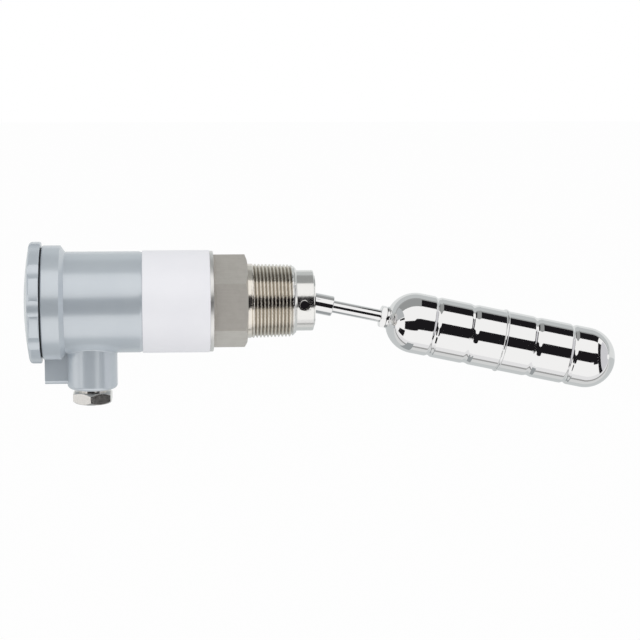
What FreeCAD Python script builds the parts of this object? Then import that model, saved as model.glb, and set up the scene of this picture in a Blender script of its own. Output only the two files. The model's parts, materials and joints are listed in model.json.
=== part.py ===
"""Reed float switch for the side wall of a tank, in millimetres.

+X runs along the process thread towards the float, +Z is up and the cable leaves downwards.
The origin is on the thread's axis, in the hexagon's face on the process side.
The arm is modelled at rest, where the hanging float holds it on its lower stop.
"""
import FreeCAD, Part
import math
import os

V = FreeCAD.Vector
X_AXIS = V(1, 0, 0)
Y_AXIS = V(0, 1, 0)
Z_AXIS = V(0, 0, 1)

# Clearances shared by all fits
running_gap = 0.05
slip_gap = 0.1
loose_gap = 0.2
seal_gap = 0.02

# Edge breaks and chamfers of turned and moulded pieces
edge_break = 0.5
thread_chamfer = 0.8
nut_chamfer = 0.6
nut_face_share = 0.97

# Process connection: stainless body with a 1 1/2 inch pipe thread
thread_d = 47.8
thread_len = 28.0
thread_lead_in = 3.25
hex_af = 52.2
hex_len = 21.4
hex_chamfer = 1.5
hex_face_out = 0.4
hex_core_in = 1.0
hex_overlap = 0.5
sleeve_past_flange = 0.45
flange_len = 2.5
flange_rim = 1.5
flange_fall = 0.3
flange_step = 0.3
spigot_d = 51.8
spigot_len = 4.5
neck_d = 24.0
neck_past_nut = 2.0
neck_chamfer = 1.0
dry_bore_d = 13.0
wall_between_bores = 2.5
chamber_d = 27.0
chamber_past_face = 4.0
chamber_chamfer = 3.0
throat_lead = 2.0

# Head that carries the arm's pivot
head_d = 38.9
head_len = 11.2
head_step_d = 32.8
head_step = 0.8
throat_len = 19.3
pivot_from_head = 4.65
pin_d = 6.0
pin_recess_d = 7.6
pin_recess = 1.8
pin_below_surface = 0.9
pin_dome = 0.7

# Insulating sleeve between body and housing
sleeve_wall = 6.65
sleeve_len = 42.9
o_ring_d = 1.76
o_ring_groove_w = 2.4
o_ring_from_face = 1.0

# Cast housing
housing_d = 64.7
housing_len = 63.1
housing_wall = 3.6
housing_back = 8.4
housing_back_edge = 0.6
housing_back_bevel = 2.0
collar_edge = 0.6
collar_d = 72.8
collar_len = 11.3
collar_cone = 2.9
cast_fillet = 2.0
saddle_fillet = 1.0
thread_run_out = 1.0
tapping_past_screw = 1.0
pillar_d = 8.0
pillar_len = 14.0
pillar_pitch_r = 23.5
earth_y = -14.5
earth_z = -17.5

# Cable boss, its web and the gland
boss_d = 32.1
boss_from_mouth = 30.7
boss_bottom = 55.5
boss_edge = 2.5
web_w = 8.0
web_from_mouth = 0.5
web_bottom = 52.6
web_edge = 2.5
gland_thread_d = 20.0
gland_seat_depth = 17.0
cable_bore_d = 13.5
gland_hex_af = 24.0
gland_hex_h = 7.5
gland_turn = 34.0
gland_chamfer = 0.75
gland_neck_gap = 2.0
gland_screw_in = 7.0
gland_washer_t = 1.0
gland_washer_bore = 14.6
gland_seal_bore = 12.6
gland_seal_lead = 1.0

# Screw cover and its seal
cover_d = 77.5
cover_rim = 7.4
cover_edge = 2.2
cover_rise = 3.4
cover_wall = 3.6
cover_gap = 1.0
cover_thread_d = 60.2
cover_thread_len = 8.0
cover_thread_wall = 3.2
cover_thread_play = 0.3
cover_inner_rise = 3.0
cover_inner_chamfer = 2.0
grip_count = 10
grip_depth = 1.3
grip_w = 11.6
grip_phase = 3.0
cover_seal_w = 3.1
cover_seal_set_in = 1.35
cover_seal_seat = 1.4
cover_seal_round = 0.2

# Clamping nut of the neck
neck_washer_d = 36.0
neck_washer_t = 1.5
neck_nut_af = 32.0
neck_nut_h = 7.0

# Arm, measured along it from the pivot
arm_rest_down = 12.0
arm_stop_gap = 0.1
lever_d = 13.0
lever_front = 19.8
lever_back = 7.0
lever_flat = 5.5
lever_flat_past_pin = 2.0
lever_back_chamfer = 0.6
pivot_washer_w = 1.5
tail_d = 8.0
tail_len = 24.0
tail_pin_d = 5.0
tail_pin_len = 5.0
magnet_d = 6.0
magnet_len = 6.0
holder_d = 10.0
holder_cap = 0.8
holder_web = 1.0
rod_d = 8.0
rod_seat = 11.0
nut_af = 13.0
nut_h = 4.0
nut_turn = 30.0
rod_end_gap = 0.5

# Float
float_from_pivot = 55.2
float_d = 39.2
float_len = 153.5
float_wall = 0.8
bead_w = 4.6
bead_depth = 0.75
bead_inner = 21.0
bead_outer = 45.5
seam_rise = 0.85
seam_edge = 0.2
seam_w = 1.8
bush_d = 14.0
bush_len = 10.5
bush_lip = 2.6
bush_thread_len = 8.0
bush_step = 1.0

# Terminals, plate and reed
plate_t = 1.5
plate_low = 9.0
plate_high = 24.5
plate_hole_d = 15.0
plate_edge_gap = 0.7
screw_d = 4.0
screw_head_d = 7.0
screw_head_h = 2.6
screw_len = 8.0
earth_washer_t = 1.0
earth_washer_past_head = 0.5
block_w = 26.0
block_screw_from_end = 3.2
block_low = 8.0
block_high = 24.0
block_h = 15.5
way_pitch = 8.0
clamp_w = 5.6
clamp_h = 5.8
clamp_len = 7.6
clamp_depth = 4.0
block_chamfer = 0.8
wire_entry_gap = 0.8
wire_clamp_gap = 0.4
clamp_screw_d = 2.5
clamp_screw_head_d = 4.2
clamp_screw_head_h = 1.6
block_screw_d = 3.0
block_screw_head_d = 5.0
block_screw_head_h = 1.8
wire_d = 1.2
wire_bend = 3.0
lead_straight = 8.0
lead_sweep = 10.0
reed_d = 2.6
reed_len = 14.0
reed_from_wall = 6.5
reed_height = 2.9
reed_glass_wall = 0.35
reed_glass_cap = 1.6
reed_glass_taper = 0.6
reed_glass_round = 1.0
blade_w = 1.2
blade_t = 0.25
blade_overlap = 1.2
blade_gap = 0.15
blade_tail = 1.6
carrier_flat = 2.2
carrier_rear_gap = 2.5
plug_head_d = 17.0
plug_head_t = 1.5
plug_len = 2.2

# Shares of a slotted pan head's height and width, and of its shank
pan_rim_share = 0.6
pan_crown_share = 0.86
pan_crown_r_share = 0.42
pan_top_r_share = 0.3
slot_depth_share = 0.5
slot_half_w_share = 0.07
point_share = 0.15

# Share of a quarter round's radius that its middle lies in from the corner
round_mid = 1 - math.sqrt(0.5)

# Places along X, from the float's side to the cover's side
head_start = thread_len + thread_lead_in
head_end = head_start + head_len
step_end = head_end + head_step
pivot_x = head_start + pivot_from_head
throat_start = step_end - throat_len
chamber_end = -chamber_past_face
dry_bore_end = chamber_end - wall_between_bores
flange_start = -hex_len
sleeve_front = flange_start - flange_len
sleeve_back = sleeve_front - sleeve_len
mouth_x = sleeve_back - housing_len
inner_back = sleeve_back - housing_back
washer_back = inner_back - neck_washer_t
nut_back = washer_back - neck_nut_h
neck_end = nut_back - neck_past_nut
plate_front = inner_back - pillar_len
plate_back = plate_front - plate_t
boss_x = mouth_x + boss_from_mouth
cover_face = mouth_x - cover_gap
cover_edge_x = cover_face - cover_rim
cover_thread_end = cover_face + cover_thread_len + cover_gap

# Diameters and radii that follow from the fits
sleeve_d = spigot_d + 2 * (loose_gap + sleeve_wall)
sleeve_bore_r = sleeve_d / 2 - sleeve_wall
flange_d = sleeve_d - 2 * sleeve_past_flange
seam_d = float_d + 2 * seam_rise
compartment_r = housing_d / 2 - housing_wall
cover_thread_r = cover_thread_d / 2
swing = math.radians(arm_rest_down)
throat_r = (lever_d / 2) / math.cos(swing) + (step_end - pivot_x) * math.tan(swing) + arm_stop_gap
wire_r = wire_d / 2
way_y = way_pitch / 2
lead_y = way_y
clamp_x = plate_back - block_h + clamp_depth
wire_x = clamp_x + clamp_h / 2
way_z = (block_low + block_high) / 2 - 1


def edge_path(points):
    """Edges through (x, r) points; (mid_x, mid_r, x, r) is an arc to its last two numbers."""
    edges = []
    here = V(points[0][0], points[0][1], 0)
    for point in points[1:]:
        there = V(point[-2], point[-1], 0)
        if len(point) == 4:
            edges.append(Part.Arc(here, V(point[0], point[1], 0), there).toShape())
        else:
            edges.append(Part.makeLine(here, there))
        here = there
    start = V(points[0][0], points[0][1], 0)
    if here.distanceToPoint(start) > 1e-6:
        edges.append(Part.makeLine(here, start))
    return edges


def turned(points, base=V(0, 0, 0), direction=X_AXIS):
    """Solid of revolution of an (x, r) outline, with its x axis laid along direction from base."""
    face = Part.Face(Part.Wire(edge_path(points)))
    solid = face.revolve(V(0, 0, 0), X_AXIS, 360)
    solid.Placement = FreeCAD.Placement(base, FreeCAD.Rotation(X_AXIS, direction))
    return solid


def rod(r, x0, x1, y=0.0, z=0.0):
    """Cylinder along X between two stations."""
    return Part.makeCylinder(r, x1 - x0, V(x0, y, z), X_AXIS)


def ring(r_out, r_in, x0, x1, y=0.0, z=0.0):
    """Plain washer or tube along X."""
    return rod(r_out, x0, x1, y, z).cut(rod(r_in, x0, x1, y, z))


def block(x0, x1, y0, y1, z0, z1):
    """Box between two corners."""
    return Part.makeBox(x1 - x0, y1 - y0, z1 - z0, V(x0, y0, z0))


def hex_prism(af, x0, x1, turn=0.0):
    """Hexagonal bar along X, with a corner pointing up where turn is 0."""
    r = af / math.sqrt(3)
    corners = []
    for i in range(7):
        angle = math.radians(60 * i + turn)
        corners.append(V(x0, r * math.sin(angle), r * math.cos(angle)))
    return Part.Face(Part.makePolygon(corners)).extrude(V(x1 - x0, 0, 0))


def hex_nut(af, bore_r, x0, x1, chamfer, turn=0.0):
    """Hexagon nut with both faces chamfered and a plain bore."""
    r = af / math.sqrt(3)
    face_r = af / 2 * nut_face_share
    lift = (r - face_r) * chamfer
    blank = turned([(x0, bore_r), (x0, face_r), (x0 + lift, r), (x1 - lift, r), (x1, face_r), (x1, bore_r)])
    return blank.common(hex_prism(af, x0, x1, turn))


def toward(solid, base, direction):
    """Lays a solid that was made along +X from the origin along another direction from base."""
    solid.Placement = FreeCAD.Placement(base, FreeCAD.Rotation(X_AXIS, direction))
    return solid


def groove(r_out, x0, x1, depth):
    """Square ring that cuts a seal groove into a shaft of radius r_out."""
    return ring(r_out + 1, r_out - depth, x0, x1)


def torus(mean_r, section_r, x):
    """Round-section ring about the X axis."""
    return Part.makeTorus(mean_r, section_r, V(x, 0, 0), X_AXIS)


def pan_screw(shank_d, shank_len, head_d, head_h):
    """Slotted pan-head screw along +X: the head lies behind the origin, the shank ahead of it."""
    rim = -head_h * pan_rim_share
    point = shank_d * point_share
    slot_half = head_d * slot_half_w_share
    body = turned([(shank_len, 0), (shank_len, shank_d / 2 - point), (shank_len - point, shank_d / 2),
                   (0, shank_d / 2), (0, head_d / 2), (rim, head_d / 2),
                   (-head_h * pan_crown_share, head_d * pan_crown_r_share, -head_h, head_d * pan_top_r_share),
                   (-head_h, 0)])
    slot = block(-head_h, -head_h * (1 - slot_depth_share), -head_d, head_d, -slot_half, slot_half)
    return body.cut(slot)


def on_arm(solid):
    """Hangs a solid made along +X from the pivot at the arm's rest angle."""
    solid.rotate(V(0, 0, 0), Y_AXIS, arm_rest_down)
    solid.translate(V(pivot_x, 0, 0))
    return solid


def bent_wire(points, bend, r):
    """Round wire along straight runs, with a tangent arc of radius bend at each inner point."""
    edges = []
    start = points[0]
    for i in range(1, len(points) - 1):
        corner = points[i]
        back = (points[i - 1] - corner).normalize()
        ahead = (points[i + 1] - corner).normalize()
        half = back.getAngle(ahead) / 2
        reach = bend / math.tan(half)
        leave = corner + back * reach
        join = corner + ahead * reach
        middle = corner + (back + ahead).normalize() * (bend / math.sin(half) - bend)
        edges.append(Part.makeLine(start, leave))
        edges.append(Part.Arc(leave, middle, join).toShape())
        start = join
    edges.append(Part.makeLine(start, points[-1]))
    path = Part.Wire(edges)
    section = Part.Wire(Part.makeCircle(r, points[0], points[1] - points[0]))
    return path.makePipeShell([section], True, True)


def process_body():
    """One turned and milled piece: flange, hexagon, thread, head, wet chamber and dry bore."""
    thread_r = thread_d / 2
    spigot_r = spigot_d / 2
    neck_r = neck_d / 2
    hex_r = hex_af / math.sqrt(3)
    core_r = hex_af / 2 - hex_core_in
    lead_r = thread_r - thread_lead_in
    flange_r = flange_d / 2
    spigot_x = sleeve_front - spigot_len
    shaft = turned([
        (neck_end, 0), (neck_end, neck_r - neck_chamfer), (neck_end + neck_chamfer, neck_r),
        (spigot_x, neck_r), (spigot_x, spigot_r - edge_break), (spigot_x + edge_break, spigot_r),
        (sleeve_front, spigot_r), (sleeve_front, flange_r), (sleeve_front + flange_rim, flange_r),
        (flange_start - flange_step, flange_r - flange_fall), (flange_start, hex_r),
        (flange_start + hex_core_in, core_r), (-hex_core_in, core_r), (-hex_core_in, thread_r),
        (thread_len, thread_r), (head_start, lead_r), (head_start, head_d / 2),
        (head_end - edge_break, head_d / 2), (head_end, head_d / 2 - edge_break),
        (head_end, head_step_d / 2), (step_end, head_step_d / 2), (step_end, 0)])
    hex_from = flange_start - hex_overlap
    hexagon = turned([(hex_from, 0), (hex_from, hex_r), (-hex_chamfer, hex_r),
                      (0, hex_af / 2 + hex_face_out), (0, 0)])
    body = shaft.fuse(hexagon.common(hex_prism(hex_af, hex_from, 0)))
    groove_x = sleeve_front - o_ring_from_face - o_ring_groove_w
    depth = spigot_r - (sleeve_bore_r - o_ring_d)
    body = body.cut(groove(spigot_r, groove_x, groove_x + o_ring_groove_w, depth))
    body = body.cut(rod(dry_bore_d / 2, neck_end, dry_bore_end))
    chamber_r = chamber_d / 2
    chamber = turned([(chamber_end, 0), (chamber_end, chamber_r - chamber_chamfer),
                      (chamber_end + chamber_chamfer, chamber_r), (throat_start - throat_lead, chamber_r),
                      (throat_start, throat_r), (step_end, throat_r), (step_end, 0)])
    body = body.cut(chamber)
    body = body.cut(toward(rod(pin_d / 2 + seal_gap, -head_d, head_d), V(pivot_x, 0, 0), Y_AXIS))
    recess_y = head_d / 2 - pin_recess
    for side in (Y_AXIS, -Y_AXIS):
        recess = rod(pin_recess_d / 2, recess_y, head_d)
        body = body.cut(toward(recess, V(pivot_x, 0, 0), side))
    return body.removeSplitter()


def dome_half_way(r, height):
    """Rise that a shallow dome of this height still lacks at half its radius."""
    ball = (r ** 2 + height ** 2) / (2 * height)
    return ball - math.sqrt(ball ** 2 - r ** 2 / 4)


def pivot_pin():
    """Plain pin across the head, with domed ends that sit in their recesses."""
    half = head_d / 2 - pin_below_surface
    r = pin_d / 2
    dome = pin_dome
    bend = dome_half_way(r, dome)
    outline = [(-half, 0), (-half + bend, r / 2, -half + dome, r), (half - dome, r),
               (half - bend, r / 2, half, 0)]
    return turned(outline, V(pivot_x, 0, 0), Y_AXIS)


def pivot_washers():
    """Two plastic washers that centre the lever between the throat's walls."""
    inner_y = lever_flat + slip_gap
    washer_r = pin_d / 2 + pivot_washer_w
    outer_y = math.sqrt(throat_r ** 2 - washer_r ** 2) - slip_gap
    washers = []
    for side in (Y_AXIS, -Y_AXIS):
        washer = ring(washer_r, pin_d / 2 + running_gap, inner_y, outer_y)
        washers.append(toward(washer, V(pivot_x, 0, 0), side))
    return Part.makeCompound(washers)


def insulating_sleeve():
    """White plastic tube that keeps the process heat from the housing."""
    r = sleeve_d / 2
    bore = sleeve_bore_r
    edge = edge_break
    return turned([(sleeve_back, bore + edge), (sleeve_back, r - edge), (sleeve_back + edge, r),
                   (sleeve_front - edge, r), (sleeve_front, r - edge), (sleeve_front, bore + edge),
                   (sleeve_front - edge, bore), (sleeve_back + edge, bore)])


def sleeve_o_ring(face_x, side):
    """Rubber ring in the groove of the spigot whose shoulder is at face_x."""
    mean_r = sleeve_bore_r - o_ring_d / 2
    return torus(mean_r, o_ring_d / 2 - seal_gap, face_x + side * (o_ring_from_face + o_ring_groove_w / 2))


def housing_shell():
    """Turned outline of the casting: collar, cone, barrel and spigot, still without its boss."""
    r = housing_d / 2
    collar_r = collar_d / 2
    spigot_r = spigot_d / 2
    spigot_x = sleeve_back + spigot_len
    return turned([
        (mouth_x, 0), (mouth_x, collar_r - collar_edge), (mouth_x + collar_edge, collar_r),
        (mouth_x + collar_len, collar_r), (mouth_x + collar_len + collar_cone, r),
        (sleeve_back - housing_back_bevel, r), (sleeve_back, r - housing_back_edge), (sleeve_back, spigot_r),
        (spigot_x - edge_break, spigot_r), (spigot_x, spigot_r - edge_break), (spigot_x, 0)])


def cable_boss():
    """Round boss under the barrel, with the web that ties it to the collar."""
    r = boss_d / 2
    bend = boss_edge * round_mid
    boss = turned([(0, 0), (0, r), (boss_bottom - boss_edge, r),
                   (boss_bottom - bend, r - bend, boss_bottom, r - boss_edge), (boss_bottom, 0)],
                  V(boss_x, 0, 0), -Z_AXIS)
    web = block(mouth_x + web_from_mouth, boss_x, -web_w / 2, web_w / 2, -web_bottom, -compartment_r)
    low_edges = []
    for edge in web.Edges:
        middle = edge.CenterOfMass
        if abs(middle.z + web_bottom) < 0.01 and abs(middle.y) > 1:
            low_edges.append(edge)
    web = web.makeFillet(web_edge, low_edges)
    return boss, web


def housing_hollow():
    """Space under the cover, the cover's thread, its seal seat and the hole for the neck."""
    seat_out = collar_d / 2 - cover_seal_set_in
    hollow = turned([
        (sleeve_back + spigot_len, 0), (sleeve_back + spigot_len, neck_d / 2 + loose_gap),
        (inner_back, neck_d / 2 + loose_gap), (inner_back, compartment_r - cast_fillet),
        (inner_back - cast_fillet * round_mid, compartment_r - cast_fillet * round_mid,
         inner_back - cast_fillet, compartment_r),
        (cover_thread_end + 2 * thread_run_out, compartment_r),
        (cover_thread_end + thread_run_out, cover_thread_r), (mouth_x, cover_thread_r), (mouth_x, 0)])
    seat = ring(seat_out + slip_gap, seat_out - cover_seal_w - slip_gap, mouth_x, mouth_x + cover_seal_seat)
    return hollow.fuse(seat)


def pillar_places():
    """The two plate pillars."""
    return [(-pillar_pitch_r, 0.0), (pillar_pitch_r, 0.0)]


def saddle_edges(shape):
    """Edges where the boss meets the barrel."""
    found = []
    for edge in shape.Edges:
        first, last = edge.ParameterRange
        on_both = True
        for share in (0.1, 0.5, 0.9):
            point = edge.valueAt(first + share * (last - first))
            off_boss = abs(math.hypot(point.x - boss_x, point.y) - boss_d / 2)
            off_barrel = abs(math.hypot(point.y, point.z) - housing_d / 2)
            on_both = on_both and off_boss < 0.01 and off_barrel < 0.01
        if on_both:
            found.append(edge)
    return found


def housing():
    """Cast aluminium terminal housing."""
    boss, web = cable_boss()
    shell = housing_shell()
    joined = shell.fuse(boss).removeSplitter()
    joined = joined.makeFillet(saddle_fillet, saddle_edges(joined))
    body = joined.fuse(web)
    body = body.cut(housing_hollow())
    spots = pillar_places() + [(earth_y, earth_z)]
    for y, z in spots:
        body = body.fuse(rod(pillar_d / 2, plate_front, inner_back + 1, y, z))
    for y, z in spots:
        hole_end = plate_front + screw_len + tapping_past_screw
        body = body.cut(rod(screw_d / 2 + seal_gap, plate_front, hole_end, y, z))
    groove_x = sleeve_back + o_ring_from_face
    depth = spigot_d / 2 - (sleeve_bore_r - o_ring_d)
    body = body.cut(groove(spigot_d / 2, groove_x, groove_x + o_ring_groove_w, depth))
    seat_z = boss_bottom - gland_seat_depth
    entry = rod(gland_thread_d / 2 + seal_gap, seat_z, boss_bottom)
    entry = entry.fuse(rod(cable_bore_d / 2, 0, boss_bottom))
    return body.cut(toward(entry, V(boss_x, 0, 0), -Z_AXIS))


def gland_screw():
    """Nickel-plated pressure screw that squeezes the cable seal."""
    top = boss_bottom + gland_neck_gap
    r = gland_thread_d / 2 - seal_gap
    bore = cable_bore_d / 2
    neck_r = r - thread_chamfer
    head = hex_nut(gland_hex_af, bore, top, top + gland_hex_h, gland_chamfer, gland_turn)
    start = boss_bottom - gland_screw_in
    shank = turned([(start, bore), (start, neck_r), (start + thread_chamfer, r),
                    (boss_bottom - edge_break, r), (boss_bottom, neck_r), (top + edge_break, neck_r),
                    (top + edge_break, bore)])
    return toward(head.fuse(shank).removeSplitter(), V(boss_x, 0, 0), -Z_AXIS)


def gland_washer():
    """Steel washer between the pressure screw and the seal."""
    low = boss_bottom - gland_screw_in
    washer = ring(gland_thread_d / 2 - slip_gap, gland_washer_bore / 2, low - gland_washer_t, low)
    return toward(washer, V(boss_x, 0, 0), -Z_AXIS)


def gland_seal():
    """Rubber seal that grips the cable."""
    low = boss_bottom - gland_screw_in - gland_washer_t
    high = boss_bottom - gland_seat_depth
    bore = gland_seal_bore / 2
    r = gland_thread_d / 2 - slip_gap
    lead = gland_seal_lead
    seal = turned([(high, bore), (high, r), (low, r), (low, bore + lead), (low - lead, bore)])
    return toward(seal, V(boss_x, 0, 0), -Z_AXIS)


def cover():
    """Screw cover: domed outside, scalloped for grip, with a threaded skirt."""
    r = cover_d / 2
    tip = cover_edge_x - cover_rise
    skirt_r = cover_thread_r - cover_thread_play
    inside_r = skirt_r - cover_thread_wall
    inner_x = cover_edge_x + cover_inner_rise
    flat_r = r - cover_edge
    bend = dome_half_way(flat_r, cover_rise)
    body = turned([
        (tip, 0), (tip + bend, flat_r / 2, cover_edge_x, flat_r),
        (cover_edge_x + cover_edge * round_mid, r - cover_edge * round_mid, cover_edge_x + cover_edge, r),
        (cover_face - edge_break, r), (cover_face, r - edge_break), (cover_face, skirt_r),
        (cover_thread_end - thread_chamfer, skirt_r), (cover_thread_end, skirt_r - thread_chamfer),
        (cover_thread_end, inside_r), (inner_x, inside_r),
        (inner_x - cover_inner_chamfer, inside_r - cover_inner_chamfer), (tip + cover_wall, 0)])
    cutter_r = (grip_w ** 2 / 4 + grip_depth ** 2) / (2 * grip_depth)
    cutter_at = r - grip_depth + cutter_r
    for i in range(grip_count):
        angle = math.radians(grip_phase + i * 360 / grip_count)
        y = -cutter_at * math.cos(angle)
        z = cutter_at * math.sin(angle)
        body = body.cut(rod(cutter_r, tip, cover_face, y, z))
    return body


def cover_seal():
    """Rubber ring squeezed between cover and collar."""
    r_out = collar_d / 2 - cover_seal_set_in
    r_in = r_out - cover_seal_w
    x0 = cover_face + seal_gap
    x1 = mouth_x + cover_seal_seat - seal_gap
    bulge = (x1 - x0) * cover_seal_round
    return turned([(x0, r_in + bulge), (x0, r_out - bulge), (x0 + bulge, r_out), (x1 - bulge, r_out),
                   (x1, r_out - bulge), (x1, r_in + bulge), (x1 - bulge, r_in), (x0 + bulge, r_in)])


def neck_washer():
    """Flat washer under the clamping nut."""
    return ring(neck_washer_d / 2, neck_d / 2 + loose_gap, washer_back, inner_back)


def neck_nut():
    """Hexagon nut that clamps housing, sleeve and body together."""
    return hex_nut(neck_nut_af, neck_d / 2 + seal_gap, nut_back, washer_back, nut_chamfer)


def lever():
    """Turned lever: thick front with a tapped hole, flats at the pivot and a slim tail."""
    r = lever_d / 2
    socket = lever_front - rod_seat
    back = -lever_back - lever_back_chamfer
    body = turned([(-tail_len - tail_pin_len, 0), (-tail_len - tail_pin_len, tail_pin_d / 2),
                   (-tail_len, tail_pin_d / 2), (-tail_len, tail_d / 2), (back, tail_d / 2),
                   (back, r - lever_back_chamfer), (-lever_back, r), (lever_front - edge_break, r),
                   (lever_front, r - edge_break), (lever_front, 0)])
    body = body.cut(rod(rod_d / 2 + seal_gap, socket, lever_front))
    body = body.cut(toward(rod(pin_d / 2 + running_gap, -lever_d, lever_d), V(0, 0, 0), Y_AXIS))
    flat_len = pin_d / 2 + lever_flat_past_pin
    for side in (-1, 1):
        y0 = side * lever_flat
        y1 = side * lever_d
        body = body.cut(block(-flat_len, flat_len, min(y0, y1), max(y0, y1), -lever_d, lever_d))
    return on_arm(body)


def magnet_holder():
    """Closed stainless cup on the lever's tail."""
    end = holder_end()
    r = holder_d / 2
    cup = turned([(end, 0), (end, r - edge_break), (end + edge_break, r), (-tail_len - edge_break, r),
                  (-tail_len, r - edge_break), (-tail_len, 0)])
    cup = cup.cut(rod(tail_pin_d / 2 + seal_gap, -tail_len - tail_pin_len - slip_gap, -tail_len))
    cup = cup.cut(rod(magnet_d / 2 + slip_gap, end, end + holder_cap + slip_gap + magnet_len))
    return on_arm(cup)


def holder_end():
    """Station of the cup's closed end, behind the pivot."""
    return -(tail_len + tail_pin_len + slip_gap + holder_web + magnet_len + slip_gap + holder_cap)


def magnet():
    """Switching magnet, a plain cylinder along the tail."""
    start = holder_end() + holder_cap + slip_gap
    return on_arm(rod(magnet_d / 2, start, start + magnet_len - seal_gap))


def magnet_cap():
    """Welded lid of the magnet's cup."""
    start = holder_end()
    return on_arm(rod(magnet_d / 2 + slip_gap - seal_gap, start, start + holder_cap))


def float_rod():
    """Round rod, threaded into the lever and into the float's bush."""
    start = lever_front - rod_seat + rod_end_gap
    end = float_from_pivot + bush_thread_len - rod_end_gap
    r = rod_d / 2
    edge = thread_chamfer
    return on_arm(turned([(start, 0), (start, r - edge), (start + edge, r), (end - edge, r), (end, r - edge),
                          (end, 0)]))


def lock_nut():
    """Thin nut that locks the rod in the float's bush."""
    start = float_from_pivot - nut_h
    end = float_from_pivot - seal_gap
    return on_arm(hex_nut(nut_af, rod_d / 2 + seal_gap, start, end, nut_chamfer, nut_turn))


def float_bush():
    """Threaded bush welded into the float's nose."""
    start = float_from_pivot
    r = bush_d / 2
    inner_r = r - bush_step
    return on_arm(turned([
        (start, rod_d / 2 + seal_gap), (start, r - edge_break), (start + edge_break, r),
        (start + bush_lip, r), (start + bush_lip, inner_r), (start + bush_len, inner_r),
        (start + bush_len, 0), (start + bush_thread_len, 0),
        (start + bush_thread_len, rod_d / 2 + seal_gap)]))


def shell_outline(inset):
    """Half of the float from its seam to its tip, as (x, r) points; inset gives the inner face."""
    r = float_d / 2 - inset
    tip_x = float_len / 2 - inset
    centre_x = float_len / 2 - float_d / 2
    points = [(0, r)]
    for bead in (bead_inner, bead_outer):
        points.append((bead - bead_w / 2, r))
        points.append((bead, r - bead_depth, bead + bead_w / 2, r))
    points.append((centre_x, r))
    points.append((centre_x + r * math.sqrt(0.5), r * math.sqrt(0.5), tip_x, 0))
    return points


def half_shell():
    """Drawn half of the float: round end, two rolled beads and an open end at the seam."""
    outer = turned(shell_outline(0) + [(0, 0)])
    inner = turned(shell_outline(float_wall) + [(0, 0)])
    return outer.cut(inner)


def float_shell_front():
    """Half of the float that carries the bush."""
    shell = half_shell()
    shell.rotate(V(0, 0, 0), Z_AXIS, 180)
    shell.translate(V(float_from_pivot + float_len / 2, 0, 0))
    hole = rod(bush_d / 2 + seal_gap, float_from_pivot - 1, float_from_pivot + float_d / 2)
    return on_arm(shell.cut(hole))


def float_shell_rear():
    """Closed half of the float."""
    shell = half_shell()
    shell.translate(V(float_from_pivot + float_len / 2, 0, 0))
    return on_arm(shell)


def float_seam():
    """Raised weld bead that joins the two halves."""
    middle = float_from_pivot + float_len / 2
    r = float_d / 2 + seal_gap
    edge_r = r + seam_edge
    return on_arm(turned([(middle - seam_w / 2, r), (middle - seam_w / 2, edge_r),
                          (middle, seam_d / 2, middle + seam_w / 2, edge_r), (middle + seam_w / 2, r)]))


def block_screw_places():
    """Sideways places of the two screws of the terminal block."""
    y = block_w / 2 - block_screw_from_end
    return [-y, y]


def carrier_plate():
    """Sheet-metal plate on the two pillars that carries the terminal block."""
    plate = rod(compartment_r - plate_edge_gap, plate_back, plate_front)
    plate = plate.common(block(plate_back, plate_front, -housing_d, housing_d, -plate_low, plate_high))
    plate = plate.cut(rod(plate_hole_d / 2, plate_back, plate_front, 0, 0))
    for y, z in pillar_places():
        plate = plate.cut(rod(screw_d / 2 + loose_gap, plate_back, plate_front, y, z))
    for y in block_screw_places():
        plate = plate.cut(rod(block_screw_d / 2 + seal_gap, plate_back, plate_front, y, way_z))
    return plate


def screw_at(x, y, z, shank_d, shank_len, head_d, head_h):
    """Screw along X whose head bears at x and faces the mouth."""
    screw = pan_screw(shank_d, shank_len, head_d, head_h)
    screw.translate(V(x, y, z))
    return screw


def carrier_screws():
    """Two screws that hold the plate to its pillars."""
    screws = []
    for y, z in pillar_places():
        screws.append(screw_at(plate_back, y, z, screw_d, screw_len, screw_head_d, screw_head_h))
    return Part.makeCompound(screws)


def earth_washer():
    """Square clamping plate under the earth screw."""
    size = screw_head_d / 2 + earth_washer_past_head
    back = plate_front - earth_washer_t
    plate = block(back, plate_front, earth_y - size, earth_y + size, earth_z - size, earth_z + size)
    return plate.cut(rod(screw_d / 2 + slip_gap, back, plate_front, earth_y, earth_z))


def earth_screw():
    """Earth screw on its own pillar."""
    back = plate_front - earth_washer_t
    return screw_at(back, earth_y, earth_z, screw_d, screw_len, screw_head_d, screw_head_h)


def terminal_block():
    """Moulded two-way terminal block."""
    front = plate_back - block_h
    body = block(front, plate_back, -block_w / 2, block_w / 2, block_low, block_high)
    rims = [e for e in body.Edges if abs(e.CenterOfMass.x - front) < 0.01]
    body = body.makeChamfer(block_chamfer, rims)
    for y in block_screw_places():
        body = body.cut(rod(block_screw_d / 2 + loose_gap, front, plate_back, y, way_z))
        body = body.cut(rod(block_screw_head_d / 2 + loose_gap, front, clamp_x, y, way_z))
    for y in (-way_y, way_y):
        pocket = clamp_w / 2 + slip_gap
        body = body.cut(rod(clamp_screw_head_d / 2 + slip_gap, front, clamp_x, y, way_z))
        body = body.cut(block(clamp_x, clamp_x + clamp_h + slip_gap, y - pocket, y + pocket,
                              way_z - clamp_len / 2 - slip_gap, block_high))
        low = V(wire_x, y, block_low)
        entry = Part.makeCylinder(wire_r + wire_entry_gap, way_z - block_low, low, Z_AXIS)
        body = body.cut(entry)
    return body


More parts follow.
